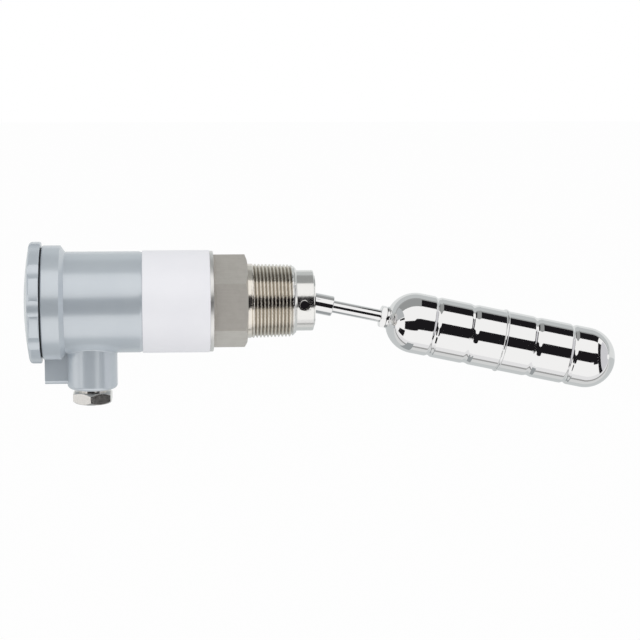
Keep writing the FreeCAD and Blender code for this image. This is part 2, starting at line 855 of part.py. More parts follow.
def terminal_clamps():
    """Brass clamp in each way."""
    clamps = []
    for y in (-way_y, way_y):
        clamp = block(clamp_x, clamp_x + clamp_h, y - clamp_w / 2, y + clamp_w / 2, way_z - clamp_len / 2,
                      way_z + clamp_len / 2)
        low = V(wire_x, y, way_z - clamp_len / 2)
        hole = Part.makeCylinder(wire_r + wire_clamp_gap, clamp_len, low, Z_AXIS)
        clamp = clamp.cut(hole)
        clamps.append(clamp.cut(rod(clamp_screw_d / 2 + seal_gap, clamp_x, wire_x, y, way_z)))
    return Part.makeCompound(clamps)


def terminal_screws():
    """Clamping screw of each way, down on the wire."""
    screws = []
    for y in (-way_y, way_y):
        length = wire_x - wire_r - clamp_x - slip_gap
        head_h = clamp_screw_head_h
        screws.append(screw_at(clamp_x, y, way_z, clamp_screw_d, length, clamp_screw_head_d, head_h))
    return Part.makeCompound(screws)


def block_screws():
    """Two screws that hold the block to the plate."""
    length = plate_front - clamp_x
    head_h = block_screw_head_h
    screws = []
    for y in block_screw_places():
        screws.append(screw_at(clamp_x, y, way_z, block_screw_d, length, block_screw_head_d, head_h))
    return Part.makeCompound(screws)


def reed_start():
    """End of the glass that lies nearest the wall between the bores."""
    return dry_bore_end - reed_from_wall


def blade(x0, x1, side):
    """One flat blade of the reed contact, above or below its middle."""
    gap = blade_gap / 2
    low = reed_height + (gap if side > 0 else -gap - blade_t)
    return block(x0, x1, -blade_w / 2, blade_w / 2, low, low + blade_t)


def reed_blades():
    """The two blades, which overlap in the middle of the glass."""
    front = reed_start()
    middle = front - reed_len / 2
    first = blade(middle - blade_overlap / 2, front + blade_tail, 1)
    second = blade(front - reed_len - blade_tail, middle + blade_overlap / 2, -1)
    return Part.makeCompound([first, second])


def reed_glass():
    """Sealed glass tube round the blades."""
    x1 = reed_start()
    x0 = x1 - reed_len
    r = reed_d / 2
    cap = reed_glass_cap
    taper = reed_glass_taper
    bend = reed_glass_round
    outer = turned([(x0, 0), (x0, r - bend), (x0 + bend * round_mid, r - bend * round_mid, x0 + bend, r),
                    (x1 - bend, r), (x1 - bend * round_mid, r - bend * round_mid, x1, r - bend), (x1, 0)])
    hollow_r = r - reed_glass_wall
    hollow = turned([(x0 + cap, 0), (x0 + cap + taper, hollow_r), (x1 - cap - taper, hollow_r),
                     (x1 - cap, 0)])
    outer.translate(V(0, 0, reed_height))
    hollow.translate(V(0, 0, reed_height))
    glass = outer.cut(hollow)
    gap = blade_gap / 2
    reach = cap + taper
    for x_a, x_b, low in ((x1 - reach, x1, gap), (x0, x0 + reach, -gap - blade_t)):
        z0 = reed_height + low - seal_gap
        half = blade_w / 2 + seal_gap
        glass = glass.cut(block(x_a, x_b, -half, half, z0, z0 + blade_t + 2 * seal_gap))
    return glass


def reed_carrier():
    """Half-round plastic strip that holds the reed against the end of the dry bore."""
    x1 = dry_bore_end - slip_gap
    x0 = neck_end + plug_len + carrier_rear_gap
    r = dry_bore_d / 2 - loose_gap
    strip = rod(r, x0, x1).common(block(x0, x1, -r, r, -r, carrier_flat))
    trough = rod(reed_d / 2 + slip_gap, reed_start() - reed_len - blade_tail, x1, 0, reed_height)
    return strip.cut(trough)


def bore_plug():
    """Plastic plug that centres the leads where they leave the dry bore."""
    r = dry_bore_d / 2 - slip_gap
    back = neck_end - plug_head_t
    front = neck_end + plug_len
    head_r = plug_head_d / 2
    plug = turned([(back, 0), (back, head_r - edge_break), (back + edge_break, head_r), (neck_end, head_r),
                   (neck_end, r), (front, r - edge_break), (front, 0)])
    for y in (-lead_y, lead_y):
        plug = plug.cut(rod(wire_r + slip_gap, back, front, y, reed_height))
    return plug


def lead_solid(start_points, side):
    """Insulated lead: its own start, then straight back to below its clamp and up into it."""
    y = side * lead_y
    corner = V(wire_x, y, reed_height)
    top = V(wire_x, y, way_z + clamp_len / 2 - 1)
    return bent_wire(start_points + [corner, top], min(wire_bend, lead_y / 2 - 0.05), wire_r)


def reed_lead_rear():
    """Lead from the rear blade, swept aside and back to its terminal."""
    x0 = reed_start() - reed_len - blade_tail - seal_gap
    z = reed_height
    swept = x0 - lead_straight - lead_sweep
    return lead_solid([V(x0, 0, z), V(x0 - lead_straight, 0, z), V(swept, lead_y, z)], 1)


def reed_lead_front():
    """Lead from the front blade, turned back beside the glass to its terminal."""
    x0 = reed_start() + blade_tail + seal_gap
    x1 = x0 + lead_y / 2 + 0.2
    z = reed_height
    return lead_solid([V(x0, 0, z), V(x1, 0, z), V(x1, -lead_y, z)], -1)


def sleeve_o_ring_front():
    """Rubber ring on the body's spigot."""
    return sleeve_o_ring(sleeve_front, -1)


def sleeve_o_ring_rear():
    """Rubber ring on the housing's spigot."""
    return sleeve_o_ring(sleeve_back, 1)


PIECES = [
    housing, insulating_sleeve, sleeve_o_ring_front, sleeve_o_ring_rear, process_body, pivot_pin,
    pivot_washers, neck_washer, neck_nut, gland_screw, gland_washer, gland_seal, cover, cover_seal,
    lever, magnet_holder, magnet, magnet_cap, float_rod, lock_nut, float_bush, float_shell_front,
    float_shell_rear, float_seam, carrier_plate, carrier_screws, earth_washer, earth_screw,
    terminal_block, terminal_clamps, terminal_screws, block_screws, reed_blades, reed_glass,
    reed_carrier, bore_plug, reed_lead_rear, reed_lead_front,
]

os.makedirs("parts", exist_ok=True)
for piece in PIECES:
    shape = piece()
    shape.exportStep("parts/" + piece.__name__ + ".step")
    print(piece.__name__, len(shape.Solids), round(shape.Volume, 1), shape.isValid())
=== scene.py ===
import json
import math

import bpy
from mathutils import Matrix, Quaternion, Vector

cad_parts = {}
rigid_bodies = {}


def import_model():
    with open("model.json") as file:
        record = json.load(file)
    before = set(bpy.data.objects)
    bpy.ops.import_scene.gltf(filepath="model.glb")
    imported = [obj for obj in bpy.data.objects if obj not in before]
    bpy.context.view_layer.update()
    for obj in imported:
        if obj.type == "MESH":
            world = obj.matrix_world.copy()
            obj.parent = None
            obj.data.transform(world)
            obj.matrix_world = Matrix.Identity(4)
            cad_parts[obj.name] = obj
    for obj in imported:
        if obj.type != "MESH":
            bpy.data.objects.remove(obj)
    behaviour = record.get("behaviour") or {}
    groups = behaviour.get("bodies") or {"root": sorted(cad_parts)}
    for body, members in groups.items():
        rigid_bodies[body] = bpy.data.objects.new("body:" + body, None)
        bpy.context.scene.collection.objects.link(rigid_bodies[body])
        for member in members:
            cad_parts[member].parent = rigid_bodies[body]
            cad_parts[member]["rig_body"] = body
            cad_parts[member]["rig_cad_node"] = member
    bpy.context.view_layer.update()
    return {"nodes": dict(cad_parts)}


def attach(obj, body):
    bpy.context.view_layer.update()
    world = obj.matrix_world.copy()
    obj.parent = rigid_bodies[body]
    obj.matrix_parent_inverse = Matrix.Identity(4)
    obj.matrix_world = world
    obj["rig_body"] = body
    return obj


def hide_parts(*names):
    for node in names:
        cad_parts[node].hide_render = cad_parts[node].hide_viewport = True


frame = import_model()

mm = 0.001
bpy.ops.object.select_all(action="DESELECT")


# Process body. It is one stainless piece, turned on a lathe, with a milled hexagon for the wrench.
# Its taper pipe thread seals in the tank's wall, and the head in front of it carries the arm's
# pivot. The thread, the hexagon's corners and the head's rim are left as the tools cut them.

thread_radius = 23.9
thread_pitch = 2.309
thread_depth = 1.479
thread_root = 0.3
thread_crest = 0.5
thread_end = 28.0
taper = 1 / 32
hexagon_back = -21.4


def only(piece):
    """Makes this piece the only selected one, and the active one."""
    bpy.ops.object.select_all(action="DESELECT")
    bpy.context.view_layer.objects.active = piece
    piece.select_set(True)


def merged_copy(node, name):
    """The node's own shape as a new piece, with its loose triangles joined and flat faces cleaned."""
    piece = frame["nodes"][node].copy()
    piece.data = piece.data.copy()
    piece.parent = None
    piece.name = name
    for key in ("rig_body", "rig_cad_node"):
        if key in piece:
            del piece[key]
    bpy.context.scene.collection.objects.link(piece)
    piece.data.materials.clear()
    only(piece)
    bpy.ops.object.mode_set(mode="EDIT")
    bpy.ops.mesh.select_all(action="SELECT")
    bpy.ops.mesh.remove_doubles(threshold=0.002 * mm)
    bpy.ops.mesh.dissolve_limited(angle_limit=math.radians(0.4))
    bpy.ops.object.mode_set(mode="OBJECT")
    return piece


def pick(piece, test):
    """Goes into edit mode with the vertices selected whose place, in mm, passes the test."""
    only(piece)
    bpy.ops.object.mode_set(mode="EDIT")
    bpy.ops.mesh.select_mode(type="VERT")
    bpy.ops.mesh.select_all(action="DESELECT")
    bpy.ops.object.mode_set(mode="OBJECT")
    for vertex in piece.data.vertices:
        vertex.select = test(vertex.co / mm)
    bpy.ops.object.mode_set(mode="EDIT")


def modify(piece, kind, **settings):
    """Adds a modifier to the piece and applies it at once."""
    only(piece)
    modifier = piece.modifiers.new(kind.title(), kind)
    for key, value in settings.items():
        setattr(modifier, key, value)
    bpy.ops.object.modifier_apply(modifier=modifier.name)


def smooth(piece, degrees=35):
    """Smooth shading that stays sharp at steeper edges, and even on the large faces."""
    only(piece)
    bpy.ops.object.shade_smooth_by_angle(angle=math.radians(degrees))
    modify(piece, "WEIGHTED_NORMAL", weight=90, keep_sharp=True)


def break_edges(piece, width, segments=2, degrees=32):
    """Takes the sharpness off the edges, as deburring or a mould's corner does."""
    modify(piece, "BEVEL", width=width * mm, segments=segments, limit_method="ANGLE",
           angle_limit=math.radians(degrees), use_clamp_overlap=True)
    smooth(piece)


def cut(piece, cutter, operation="DIFFERENCE"):
    """Cuts one piece with another, which is used up."""
    modify(piece, "BOOLEAN", object=cutter, operation=operation, solver="EXACT")
    bpy.data.objects.remove(cutter, do_unlink=True)


def thread_cutter(radius, start, end, pitch, depth, root, crest, inside=False, cone=0.0):
    """A solid wound round the X axis that cuts a V thread into a shaft, or into a bore."""
    out = -1 if inside else 1
    clear = 0.15
    mouth = pitch - crest + 2 * clear * (pitch - crest - root) / (2 * depth)
    height = depth + clear
    middle = radius + out * (clear - height / 2)
    bpy.ops.object.select_all(action="DESELECT")
    centre = (start * mm, 0, middle * mm)
    bpy.ops.mesh.primitive_plane_add(size=1, location=centre, rotation=(math.pi / 2, 0, 0))
    piece = bpy.context.object
    bpy.ops.object.transform_apply(location=True, rotation=True, scale=True)
    bpy.ops.object.mode_set(mode="EDIT")
    bpy.ops.mesh.select_all(action="SELECT")
    bpy.ops.transform.resize(value=(mouth * mm, 1, height * mm), center_override=centre)
    bpy.ops.mesh.delete(type="ONLY_FACE")
    bpy.ops.object.mode_set(mode="OBJECT")
    pick(piece, lambda place: (place.z - middle) * out < 0)
    bpy.ops.transform.resize(value=(root / mouth, 1, 1), center_override=centre)
    bpy.ops.object.mode_set(mode="OBJECT")
    turns = math.ceil((end - start) / pitch)
    modify(piece, "SCREW", axis="X", angle=2 * math.pi, screw_offset=pitch * mm, iterations=turns,
           steps=60, render_steps=60)
    only(piece)
    bpy.ops.object.mode_set(mode="EDIT")
    bpy.ops.mesh.select_all(action="SELECT")
    bpy.ops.mesh.fill_holes(sides=4)
    bpy.ops.mesh.normals_make_consistent(inside=False)
    bpy.ops.object.mode_set(mode="OBJECT")
    for vertex in piece.data.vertices:
        x, y, z = vertex.co / mm
        lift = depth * out * max(0, 1 - (x - start) / pitch, 1 - (end - x) / pitch) - cone * x
        now = math.hypot(y, z)
        vertex.co.y *= (now + lift) / now
        vertex.co.z *= (now + lift) / now
    return piece


body = merged_copy("process_body", "process_body_piece")
gauge_radius = thread_radius + 0.13
for ring_x in (-1.0, thread_end):
    pick(body, lambda place: abs(place.x - ring_x) < 0.01
         and abs(math.hypot(place.y, place.z) - thread_radius) < 0.02)
    ring = (gauge_radius - taper * ring_x) / thread_radius
    bpy.ops.transform.resize(value=(1, ring, ring), center_override=(ring_x * mm, 0, 0))
    bpy.ops.object.mode_set(mode="OBJECT")
break_edges(body, 0.2)
cut(body, thread_cutter(gauge_radius, 1.9, thread_end + 4.0, thread_pitch, thread_depth, thread_root,
                        thread_crest, cone=taper))
smooth(body)
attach(body, "root")
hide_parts("process_body")


class Flow:
    """A value that changes over a surface; arithmetic on it adds Math or Vector Math nodes."""

    def __init__(self, finish, socket):
        self.finish = finish
        self.socket = socket

    def work(self, operation, first, second):
        wide = False
        for side in (first, second):
            if isinstance(side, tuple):
                wide = True
            elif isinstance(side, Flow) and side.socket.type in ("VECTOR", "RGBA"):
                wide = True
        kind = "VectorMath" if wide else "Math"
        return self.finish.node(kind, {"operation": operation}, {0: first, 1: second})

    def __add__(self, other):
        return self.work("ADD", self, other)

    def __radd__(self, other):
        return self.work("ADD", other, self)

    def __sub__(self, other):
        return self.work("SUBTRACT", self, other)

    def __rsub__(self, other):
        return self.work("SUBTRACT", other, self)

    def __mul__(self, other):
        return self.work("MULTIPLY", self, other)

    def __rmul__(self, other):
        return self.work("MULTIPLY", other, self)


class Finish:
    """A finish for the pieces: a Principled shader, and nodes for what changes over the surface."""

    def __init__(self, name, **plain):
        self.material = bpy.data.materials.new(name)
        self.material.use_nodes = True
        self.tree = self.material.node_tree
        self.tree.nodes.clear()
        self.output = self.tree.nodes.new("ShaderNodeOutputMaterial")
        self.shader = self.tree.nodes.new("ShaderNodeBsdfPrincipled")
        self.tree.links.new(self.shader.outputs[0], self.output.inputs[0])
        self.place = self.node("TexCoord", {}, {}, "Object")
        for key, value in plain.items():
            self.set(key.replace("_", " "), value)

    def fill(self, socket, value):
        if isinstance(value, Flow):
            self.tree.links.new(value.socket, socket)
        elif isinstance(value, tuple) and socket.type == "RGBA":
            socket.default_value = value + (1,)
        elif not isinstance(value, tuple) and socket.type == "VECTOR":
            socket.default_value = (value, value, value)
        else:
            socket.default_value = value

    def node(self, kind, settings, inputs, output=0):
        """Adds a node, sets it up, gives its inputs values or Flows and returns one output."""
        made = self.tree.nodes.new("ShaderNode" + kind)
        for key, value in settings.items():
            setattr(made, key, value)
        for key, value in inputs.items():
            self.fill(made.inputs[key], value)
        return Flow(self, made.outputs[output])

    def set(self, name, value):
        self.fill(self.shader.inputs[name], value)

    def noise(self, scale, stretch=(1, 1, 1), detail=3, rough=0.5):
        """Grain between 0 and 1, with so many grains to the metre, drawn out along an axis by stretch."""
        where = self.place * tuple(float(scale * part) for part in stretch)
        return self.node("TexNoise", {}, {"Vector": where, "Scale": 1, "Detail": detail, "Roughness": rough})

    def step(self, value, low, high, kind="SMOOTHSTEP"):
        """0 below low, 1 above high, and a soft rise between them."""
        return self.node("MapRange", {"interpolation_type": kind},
                         {"Value": value, "From Min": low, "From Max": high})

    def mix(self, share, first, second):
        """One colour or the other, by the share."""
        return self.node("Mix", {"data_type": "RGBA"}, {0: share, 6: first, 7: second}, 2)

    def along(self, axis):
        """How far along an axis a point lies, in metres."""
        return self.node("SeparateXYZ", {}, {0: self.place}, axis)

    def from_axis(self):
        """Distance from the X axis, in metres."""
        return self.node("VectorMath", {"operation": "LENGTH"}, {0: self.place * (0.0, 1.0, 1.0)}, "Value")

    def bump(self, height, depth, strength=1.0):
        """Relief whose full height is depth millimetres."""
        relief = self.node("Bump", {}, {"Height": height, "Distance": depth * mm, "Strength": strength})
        self.set("Normal", relief)

    def on(self, piece):
        """Gives the piece this finish, in place of the record's slot."""
        piece.data.materials.clear()
        piece.data.materials.append(self.material)


stainless = Finish("turned_stainless_finish")
x_place = stainless.along("X")


def between(low, high, soft=0.15):
    """1 on the body between two places along X in mm, 0 beyond them."""
    return stainless.step(x_place, (low - soft) * mm, (low + soft) * mm) \
        - stainless.step(x_place, (high - soft) * mm, (high + soft) * mm)


on_hexagon = between(hexagon_back, 0)
on_thread = between(0, thread_end)
on_flange = between(hexagon_back - 9, hexagon_back)
tool_lines = stainless.noise(9000, (1, 0.01, 0.01), detail=2)
mill_marks = stainless.noise(1400, (0.06, 1.0, 1.0), detail=4)
stains = stainless.noise(160, detail=4, rough=0.6)
worn = stainless.step(stains, 0.35, 0.75)
# The thread's colour holds painted shade: from the crests down into the grooves the steel turns darker and
# browner, in place of the shade the flanks cast on each other.
crest = stainless.step(stainless.from_axis() + x_place * taper,
                       (thread_radius - 1.4) * mm, thread_radius * mm)
bright = stainless.mix(on_hexagon, (0.87, 0.86, 0.835), (0.70, 0.67, 0.62))
thread_steel_with_painted_groove_shade = stainless.mix(crest, (0.48, 0.44, 0.38), (0.86, 0.81, 0.73))
steel = stainless.mix(on_thread, bright, thread_steel_with_painted_groove_shade)
dull = (worn * 0.25 + mill_marks * 0.4) * on_hexagon
stainless.set("Base Color", stainless.mix(dull, steel, (0.50, 0.47, 0.43)))
stainless.set("Metallic", 1 - on_hexagon * 0.3)
stainless.set("Roughness", 0.14 + on_hexagon * 0.2 + on_flange * 0.2 + worn * 0.05
              + mill_marks * on_hexagon * 0.12)
stainless.bump(tool_lines * (1 - on_hexagon) * 0.25 + mill_marks * on_hexagon, 0.03, 0.6)
stainless.on(body)


# Insulating sleeve. It is a tube of white plastic, turned with broken edges, that keeps the
# process heat from the housing. It is clamped between the body's flange and the housing, and
# sealed there by a rubber ring at each end.

sleeve = merged_copy("insulating_sleeve", "insulating_sleeve_piece")
break_edges(sleeve, 0.15)
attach(sleeve, "root")
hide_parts("insulating_sleeve")

white_plastic = Finish("white_plastic_finish", Roughness=0.38, IOR=1.45)
turning = white_plastic.noise(5000, (1, 0.01, 0.01), detail=2)
cloud = white_plastic.noise(60, detail=2)
white_plastic.set("Base Color", white_plastic.mix(cloud, (0.85, 0.85, 0.88), (0.80, 0.80, 0.84)))
white_plastic.set("Roughness", 0.34 + turning * 0.1)
white_plastic.bump(turning, 0.01, 0.4)
white_plastic.on(sleeve)


def dress(finish, *nodes):
    """Gives the CAD's own nodes a finish in place of their plain one."""
    for node in nodes:
        piece = frame["nodes"][node]
        if not piece.material_slots:
            piece.data.materials.append(finish.material)
        for place in piece.material_slots:
            place.material = finish.material


dress(white_plastic, "pivot_washers")

rubber = Finish("black_rubber_finish", Base_Color=(0.018, 0.018, 0.02))
skin = rubber.noise(2500, detail=3)
rubber.set("Roughness", 0.5 + skin * 0.25)
rubber.bump(skin, 0.015, 0.5)
dress(rubber, "sleeve_o_ring_front", "sleeve_o_ring_rear")


# Terminal housing. It is an aluminium casting with a silver-grey coat: a barrel with a collar for
# the cover, a boss for the cable gland and a web that ties the boss to the collar. Its mouth is
# tapped for the cover.

mouth = -129.9
bore_radius = 30.1
cover_pitch = 2.0
cover_depth = 1.0
cover_root = 0.35
cover_crest = 0.45
housing = merged_copy("housing", "housing_piece")
break_edges(housing, 0.3, segments=3)
cut(housing, thread_cutter(bore_radius, mouth + 1.2, mouth + 10.6, cover_pitch, cover_depth, cover_root,
                           cover_crest, inside=True))
smooth(housing)
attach(housing, "root")
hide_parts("housing")

casting = Finish("cast_aluminium_finish", Metallic=0.2, Coat_Weight=1.0, Coat_IOR=2.8, Coat_Roughness=0.22)
fine = casting.noise(4200, detail=2)
coat = casting.noise(700, detail=4)
cloudy = casting.noise(45, detail=3)
patches = casting.step(cloudy, 0.3, 0.7)
casting.set("Base Color", casting.mix(patches, (0.49, 0.545, 0.595), (0.465, 0.52, 0.575)))
casting.set("Roughness", 0.34 + coat * 0.12)
casting.bump(fine * 0.5 + coat, 0.03, 0.35)
casting.on(housing)


# Screw cover and its seal. The cover is cast like the housing, with a domed face, ten shallow
# scallops round the rim for the hand and a threaded skirt. A rubber ring lies in the collar's
# face and is squeezed as the cover goes home.

cover = merged_copy("cover", "cover_piece")
break_edges(cover, 0.3, segments=3)
cut(cover, thread_cutter(bore_radius - 0.3, mouth - 0.4, mouth + 8.8, cover_pitch, cover_depth, cover_root,
                         cover_crest))
smooth(cover)
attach(cover, "cover")
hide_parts("cover")
casting.on(cover)
dress(rubber, "cover_seal")


# Cable gland. A nickel-plated hexagon screw in the boss squeezes a steel washer and a rubber ring
# onto the cable, which the photograph doesn't show. The screw is turned a little, as it is there.

boss_x = -99.2
gland_turn = -8
gland = merged_copy("gland_screw", "gland_screw_piece")
on_boss = Matrix.Translation((boss_x * mm, 0, 0))
gland.data.transform(on_boss @ Matrix.Rotation(math.radians(gland_turn), 4, "Z") @ on_boss.inverted())
break_edges(gland, 0.25)
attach(gland, "root")
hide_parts("gland_screw")

nickel = Finish("nickel_finish", Metallic=1.0, Base_Color=(0.76, 0.74, 0.71))
scuff = nickel.noise(500, detail=4, rough=0.6)
nickel.set("Roughness", 0.10 + scuff * 0.08)
nickel.bump(scuff, 0.01, 0.3)
nickel.on(gland)

plated = Finish("plated_steel_finish", Metallic=1.0)
spangle = plated.noise(900, detail=3)
plated.set("Base Color", plated.mix(spangle, (0.66, 0.67, 0.68), (0.56, 0.57, 0.58)))
plated.set("Roughness", 0.28 + spangle * 0.15)
plated.bump(spangle, 0.01, 0.4)
dress(plated, "gland_washer", "neck_washer", "neck_nut", "carrier_plate", "carrier_screws",
      "earth_washer", "earth_screw", "terminal_screws", "block_screws")
dress(rubber, "gland_seal")


# Float. Two halves are drawn from thin stainless sheet, each with two rolled beads and a round
# end, and a weld bead joins them. A threaded bush is welded into the nose. All of it is polished
# like a mirror, and it is made here along the arm, which is then hung at its rest angle.

pivot = 35.9
rest_down = 12.0
nose = 55.2
float_radius = 19.6
float_length = 153.5
wall = 0.8
beads = ((21.0, 6.4, 0.7), (45.5, 5.0, 0.95))
bush_radius = 7.0
middle = nose + float_length / 2
arm_place = Matrix.Translation((pivot * mm, 0, 0)) @ Matrix.Rotation(math.radians(rest_down), 4, "Y")


def close_pole(step):
    """Draws the selected ring on by a step along X and gathers it into one point on the axis."""
    bpy.ops.mesh.extrude_region_move(TRANSFORM_OT_translate={"value": (step * mm, 0, 0)})
    bpy.ops.mesh.merge(type="CENTER")


def turned(name, outline, sides=96):
    """A piece turned round the X axis: a circle drawn along and resized through (x, radius) points."""
    rings = [point for point in outline if point[1] > 0]
    x, r = rings[0]
    bpy.ops.object.select_all(action="DESELECT")
    bpy.ops.mesh.primitive_circle_add(vertices=sides, radius=r * mm, location=(x * mm, 0, 0),
                                      rotation=(0, math.pi / 2, 0))
    piece = bpy.context.object
    piece.name = name
    bpy.ops.object.transform_apply(location=True, rotation=True, scale=True)
    bpy.ops.object.mode_set(mode="EDIT")
    bpy.ops.mesh.select_all(action="SELECT")
    for next_x, next_r in rings[1:]:
        bpy.ops.mesh.extrude_region_move(TRANSFORM_OT_translate={"value": ((next_x - x) * mm, 0, 0)})
        bpy.ops.transform.resize(value=(1, next_r / r, next_r / r), center_override=(next_x * mm, 0, 0))
        x, r = next_x, next_r
    if outline[-1][1] == 0:
        close_pole(outline[-1][0] - x)
    if outline[0][1] == 0:
        bpy.ops.mesh.select_all(action="DESELECT")
        bpy.ops.mesh.select_non_manifold()
        close_pole(outline[0][0] - rings[0][0])
    bpy.ops.mesh.select_all(action="SELECT")
    bpy.ops.mesh.remove_doubles(threshold=0.001 * mm)
    bpy.ops.mesh.normals_make_consistent(inside=False)
    bpy.ops.object.mode_set(mode="OBJECT")
    return piece


def hang(piece):
    """Puts a piece made along the arm at the arm's rest angle, and lets it swing with it."""
    piece.data.transform(arm_place)
    smooth(piece)
    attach(piece, "float_arm")
    polished.on(piece)


def half_float(inset):
    """(x, radius) points from the seam to a half float's round end, x counted from the seam."""
    r = float_radius - inset
    points = [(0.0, r)]
    for place, width, depth in beads:
        for i in range(19):
            share = i / 18
            points.append((place + (share - 0.5) * width, r - depth * math.sin(math.pi * share) ** 2))
    centre = float_length / 2 - float_radius
    for i in range(31):
        angle = math.radians(90 - 3 * i)
        points.append((centre + r * math.cos(angle), r * math.sin(angle)))
    points[-1] = (centre + r, 0)
    return points


polished = Finish("polished_stainless_finish", Metallic=1.0, Base_Color=(0.87, 0.865, 0.86))
haze = polished.noise(120, detail=4, rough=0.6)
polished.set("Roughness", 0.035 + haze * 0.03)
ripple = polished.noise(70, detail=1)
polished.bump(ripple, 0.03, 0.25)

inner = half_float(wall)
outer = half_float(0)
rear = turned("float_shell_rear_piece", [(middle + x, r) for x, r in reversed(inner)] +
              [(middle + x, r) for x, r in outer], sides=160)
hang(rear)
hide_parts("float_shell_rear")

hole = bush_radius + 0.02
front_inner = [(middle - x, r) for x, r in inner if r > hole]
front_outer = [(middle - x, r) for x, r in outer if r > hole]
rim_out = middle - float_length / 2 + float_radius - math.sqrt(float_radius ** 2 - hole ** 2)
rim_in = middle - float_length / 2 + float_radius - math.sqrt((float_radius - wall) ** 2 - hole ** 2)
open_edge = [(rim_out, hole), (rim_in, hole), front_inner[-1]]
front = turned("float_shell_front_piece", front_inner[::-1] + front_outer + open_edge, sides=160)
hang(front)
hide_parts("float_shell_front")

seam_half = 1.1
seam_rise = 0.85
seam_base = float_radius - 0.1
seam_line = [(middle - seam_half, seam_base)]
for i in range(13):
    angle = math.radians(15 * i)
    seam_line.append((middle - seam_half * math.cos(angle), float_radius + seam_rise * math.sin(angle)))
seam_line += [(middle + seam_half, seam_base), (middle - seam_half, seam_base)]
seam = turned("float_seam_piece", seam_line, sides=160)
hang(seam)
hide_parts("float_seam")

rod_hole = 4.02
bush = turned("float_bush_piece", [
    (nose + 8.0, 0), (nose + 8.0, rod_hole), (nose, rod_hole), (nose, bush_radius - 0.5),
    (nose + 0.15, bush_radius - 0.15), (nose + 0.5, bush_radius), (nose + 2.6, bush_radius),
    (nose + 2.6, bush_radius - 1), (nose + 10.5, bush_radius - 1), (nose + 10.5, 0)])
hang(bush)
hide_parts("float_bush")


# Arm. A round rod is screwed into the float's bush, where a thin hexagon nut locks it, and into
# the lever, which is turned from thicker bar. The lever swings on a plain pin across the head,
# and its slim tail inside the body carries the switching magnet in a closed cup.

rod_radius = 4.0
lever_radius = 6.5
lever_front = 19.8
lever_flat = 5.5
head_radius = 19.45
pin_radius = 3.0
pin_end = head_radius - 1.2
rod = turned("float_rod_piece", [(9.3, 0), (9.3, 3.2), (10.1, rod_radius), (nose + 6.7, rod_radius),
                                 (nose + 7.5, 3.2), (nose + 7.5, 0)])
hang(rod)
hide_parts("float_rod")

nut = merged_copy("lock_nut", "lock_nut_piece")
break_edges(nut, 0.15)
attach(nut, "float_arm")
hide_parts("lock_nut")
polished.on(nut)

lever = turned("lever_piece", [
    (-29.0, 0), (-29.0, 2.5), (-24.0, 2.5), (-24.0, 4.0), (-7.6, 4.0), (-7.6, 5.9), (-7.0, lever_radius),
    (lever_front - 0.7, lever_radius), (lever_front - 0.35, lever_radius - 0.1),
    (lever_front - 0.1, lever_radius - 0.35), (lever_front, lever_radius - 0.7),
    (lever_front, rod_hole), (lever_front - 11.0, rod_hole), (lever_front - 11.0, 0)])
for side in (1, -1):
    bpy.ops.object.select_all(action="DESELECT")
    bpy.ops.mesh.primitive_cube_add(size=1, location=(0, side * (lever_flat + 5) * mm, 0),
                                    scale=(10 * mm, 10 * mm, 30 * mm))
    bpy.ops.object.transform_apply(location=True, rotation=True, scale=True)
    cut(lever, bpy.context.object)
bpy.ops.object.select_all(action="DESELECT")
bpy.ops.mesh.primitive_cylinder_add(vertices=64, radius=(pin_radius + 0.05) * mm, depth=26 * mm,
                                    rotation=(math.pi / 2, 0, 0))
bpy.ops.object.transform_apply(location=True, rotation=True, scale=True)
cut(lever, bpy.context.object)
hang(lever)
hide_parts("lever")

pin = turned("pivot_pin_piece", [(-pin_end, 0), (-pin_end, pin_radius - 0.4), (0.4 - pin_end, pin_radius),
                                 (pin_end - 0.4, pin_radius), (pin_end, pin_radius - 0.4), (pin_end, 0)],
             sides=64)
pin.data.transform(Matrix.Translation((pivot * mm, 0, 0)) @ Matrix.Rotation(math.pi / 2, 4, "Z"))
smooth(pin)
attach(pin, "root")
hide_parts("pivot_pin")
polished.on(pin)
dress(polished, "magnet_holder", "magnet_cap")

magnet = Finish("magnet_finish", Metallic=0.6)
sinter = magnet.noise(1500, detail=3)
magnet.set("Base Color", magnet.mix(sinter, (0.10, 0.10, 0.11), (0.06, 0.06, 0.07)))
magnet.set("Roughness", 0.5 + sinter * 0.2)
magnet.bump(sinter, 0.02, 0.5)
dress(magnet, "magnet")


# Terminals and reed. Inside the housing a steel plate on two pillars carries a moulded terminal
# block with brass clamps. The glass reed contact lies on a plastic carrier in the body's dry
# bore, and its two insulated leads come back through a plug to the clamps.

moulding = Finish("grey_plastic_finish")
pores = moulding.noise(1800, detail=3)
moulding.set("Base Color", moulding.mix(pores, (0.36, 0.37, 0.38), (0.32, 0.33, 0.34)))
moulding.set("Roughness", 0.42 + pores * 0.15)
moulding.bump(pores, 0.01, 0.5)
dress(moulding, "terminal_block", "reed_carrier", "bore_plug")

brass = Finish("clamp_brass_finish", Metallic=1.0)
tarnish = brass.noise(700, detail=4)
brass.set("Base Color", brass.mix(tarnish, (0.74, 0.56, 0.26), (0.62, 0.45, 0.20)))
brass.set("Roughness", 0.22 + tarnish * 0.15)
brass.bump(tarnish, 0.01, 0.3)
dress(brass, "terminal_clamps")

alloy = Finish("blade_alloy_finish", Metallic=1.0, Base_Color=(0.62, 0.60, 0.56))
rolled = alloy.noise(6000, (0.05, 1, 1), detail=2)
alloy.set("Roughness", 0.2 + rolled * 0.15)
alloy.bump(rolled, 0.005, 0.4)
dress(alloy, "reed_blades")

glass = Finish("reed_glass_finish", Base_Color=(0.75, 0.9, 0.82), IOR=1.5, Alpha=0.35)
drawn = glass.noise(900, (0.1, 1, 1), detail=2)
glass.set("Roughness", 0.03 + drawn * 0.04)
dress(glass, "reed_glass")

